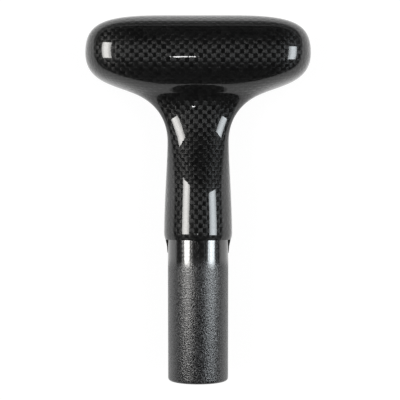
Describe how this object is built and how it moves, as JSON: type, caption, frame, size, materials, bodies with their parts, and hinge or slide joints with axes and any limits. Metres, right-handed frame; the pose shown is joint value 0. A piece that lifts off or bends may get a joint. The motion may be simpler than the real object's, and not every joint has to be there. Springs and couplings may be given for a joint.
{
  "type": "t-grip shaft handle",
  "caption": "Moulded carbon-fibre T-grip with a hollowed neck and a sanded spigot that is glued into the end of a tubular shaft.",
  "frame": {"origin": "middle of the spigot's end face, on the axis of the shaft", "axes": "+X along the bar, +Y along the shaft's axis from the spigot to the bar, +Z out of the front; the part lies on its back"},
  "size_m": [0.1008, 0.163, 0.0388],
  "materials": {
    "clear_coated_carbon": "plain-weave carbon cloth under a glossy clear coat",
    "carbon_tape": "carbon tape in resin, matte",
    "core_foam": "rigid closed-cell foam",
    "sanded_carbon": "carbon laminate, glossy by the shoulder and sanded grey below",
    "plug_foam": "dense black foam",
    "cured_resin": "cured black resin"
  },
  "bodies": {
    "root": {"front_grip_shell": "clear_coated_carbon", "rear_grip_shell": "clear_coated_carbon", "seam_strap": "carbon_tape", "crossbar_core": "core_foam", "neck_core": "core_foam", "spigot_tube": "sanded_carbon", "end_plug": "plug_foam", "left_seam_fillet": "cured_resin", "right_seam_fillet": "cured_resin"}
  },
  "joints": []
}
